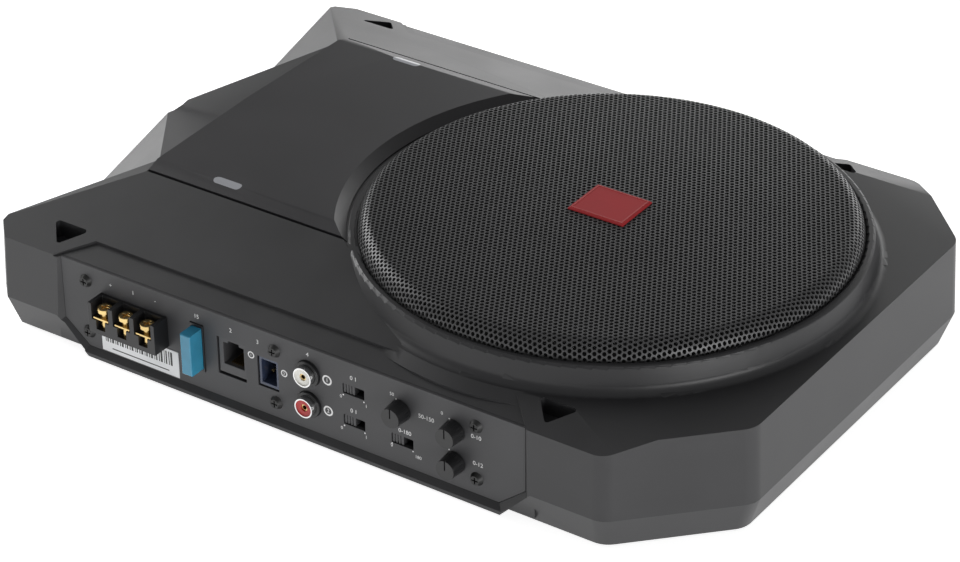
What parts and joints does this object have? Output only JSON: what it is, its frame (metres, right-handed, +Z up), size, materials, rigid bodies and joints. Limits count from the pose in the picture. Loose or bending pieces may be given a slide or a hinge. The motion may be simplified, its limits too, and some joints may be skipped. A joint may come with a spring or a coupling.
{
  "type": "powered car subwoofer",
  "caption": "Flat powered subwoofer for a car: faceted housing, round mesh grille over a shallow woofer, covered amplifier, front connection panel.",
  "frame": {"origin": "under the middle of the whole object, on the surface that the feet stand on", "axes": "+X along the long side towards the woofer, -Y out of the connection panel, +Z up"},
  "size_m": [0.345, 0.2566, 0.07],
  "materials": {
    "housing_plastic": "fine moulded grain",
    "cover_plastic": "satin",
    "lens": "translucent",
    "rubber": "matte",
    "mesh_metal": "satin black, perforated",
    "badge_red": "satin",
    "panel_metal": "fine textured",
    "dark_screw": "blackened",
    "steel": "zinc plated",
    "brass": "bright",
    "black_plastic": "satin",
    "grey_plastic": "matte",
    "label_white": "paper",
    "fuse_blue": "translucent",
    "socket_blue": "translucent",
    "white_plastic": "satin",
    "red_plastic": "satin",
    "chrome": "bright",
    "board_green": "lacquered",
    "aluminium": "extruded",
    "ferrite": "ground",
    "copper": "enamelled wire",
    "cone_black": "pressed",
    "cloth": "impregnated"
  },
  "bodies": {
    "chassis": {"top_housing": "housing_plastic", "base_tray": "housing_plastic", "housing_screws": "dark_screw", "rubber_feet": "rubber", "heatsink_cover": "cover_plastic", "led_windows": "lens", "grille_mesh": "mesh_metal", "grille_badge": "badge_red", "control_panel": "panel_metal", "panel_screws": "dark_screw", "rating_label": "label_white", "terminal_block": "black_plastic", "fuse_holder": "black_plastic", "remote_jack_body": "grey_plastic", "remote_jack_contacts": "brass", "highlevel_socket_body": "socket_blue", "highlevel_pins": "brass", "rca_block": "black_plastic", "rca_shells": "chrome", "rca_insert_white": "white_plastic", "rca_insert_red": "red_plastic", "rca_contacts": "brass", "switch_frames": "black_plastic", "potentiometer_bodies": "grey_plastic", "speaker_basket": "steel", "speaker_screws": "steel", "speaker_terminals": "brass", "speaker_gasket": "rubber", "spider": "cloth", "surround": "rubber", "speaker_magnet": "ferrite", "speaker_top_plate": "steel", "speaker_pole_plate": "steel", "amp_board": "board_green", "board_screws": "steel", "heatsink_bar": "aluminium", "transistors": "black_plastic", "capacitors": "black_plastic", "toroid_core": "ferrite", "toroid_winding": "copper"},
    "cone_body": {"cone": "cone_black", "dust_cap": "cone_black", "voice_coil": "copper"},
    "fuse": {"fuse_body": "fuse_blue", "fuse_blades": "steel"},
    "clamp_1": {"clamp_plate_1": "brass"},
    "clamp_screw_1": {"terminal_screw_1": "brass"},
    "slider_1": {"switch_slider_1": "grey_plastic"},
    "clamp_2": {"clamp_plate_2": "brass"},
    "clamp_screw_2": {"terminal_screw_2": "brass"},
    "slider_2": {"switch_slider_2": "grey_plastic"},
    "clamp_3": {"clamp_plate_3": "brass"},
    "clamp_screw_3": {"terminal_screw_3": "brass"},
    "slider_3": {"switch_slider_3": "grey_plastic"},
    "crossover_control": {"knob_crossover": "black_plastic", "shaft_crossover": "steel"},
    "level_control": {"knob_level": "black_plastic", "shaft_level": "steel"},
    "boost_control": {"knob_boost": "black_plastic", "shaft_boost": "steel"}
  },
  "joints": [
    {"name": "cone_travel", "type": "slide", "parent": "chassis", "child": "cone_body", "axis": [0, 0, 1], "range_m": [-0.005, 0.005], "stiffness_N_per_m": 1600, "deforming": ["surround", "spider"]},
    {"name": "fuse_pull", "type": "slide", "parent": "chassis", "child": "fuse", "axis": [0, -1, 0], "range_m": [0, 0.022]},
    {"name": "clamp_lift_1", "type": "slide", "parent": "chassis", "child": "clamp_1", "axis": [0, 0, 1], "range_m": [0, 0.0021]},
    {"name": "clamp_screw_turn_1", "type": "hinge", "parent": "clamp_1", "child": "clamp_screw_1", "pos_m": [-0.1081, -0.1249, 0.0299], "axis": [0, 0, 1], "range_deg": [0, 1080]},
    {"name": "clamp_lift_2", "type": "slide", "parent": "chassis", "child": "clamp_2", "axis": [0, 0, 1], "range_m": [0, 0.0021]},
    {"name": "clamp_screw_turn_2", "type": "hinge", "parent": "clamp_2", "child": "clamp_screw_2", "pos_m": [-0.097, -0.1249, 0.0299], "axis": [0, 0, 1], "range_deg": [0, 1080]},
    {"name": "clamp_lift_3", "type": "slide", "parent": "chassis", "child": "clamp_3", "axis": [0, 0, 1], "range_m": [0, 0.0021]},
    {"name": "clamp_screw_turn_3", "type": "hinge", "parent": "clamp_3", "child": "clamp_screw_3", "pos_m": [-0.0859, -0.1249, 0.0299], "axis": [0, 0, 1], "range_deg": [0, 1080]},
    {"name": "switch_slide_1", "type": "slide", "parent": "chassis", "child": "slider_1", "axis": [1, 0, 0], "range_m": [0, 0.0047]},
    {"name": "switch_slide_2", "type": "slide", "parent": "chassis", "child": "slider_2", "axis": [1, 0, 0], "range_m": [0, 0.0047]},
    {"name": "switch_slide_3", "type": "slide", "parent": "chassis", "child": "slider_3", "axis": [1, 0, 0], "range_m": [0, 0.0047]},
    {"name": "crossover_turn", "type": "hinge", "parent": "chassis", "child": "crossover_control", "pos_m": [0.0363, -0.1198, 0.0314], "axis": [0, -1, 0], "range_deg": [-150, 150]},
    {"name": "level_turn", "type": "hinge", "parent": "chassis", "child": "level_control", "pos_m": [0.0619, -0.1198, 0.0315], "axis": [0, -1, 0], "range_deg": [-150, 150]},
    {"name": "boost_turn", "type": "hinge", "parent": "chassis", "child": "boost_control", "pos_m": [0.0619, -0.1198, 0.0168], "axis": [0, -1, 0], "range_deg": [-150, 150]}
  ],
  "couplings": [
    {"joint": "clamp_screw_turn_1", "follows": "clamp_lift_1", "rad_per_m": 8975.9},
    {"joint": "clamp_screw_turn_2", "follows": "clamp_lift_2", "rad_per_m": 8975.9},
    {"joint": "clamp_screw_turn_3", "follows": "clamp_lift_3", "rad_per_m": 8975.9}
  ]
}
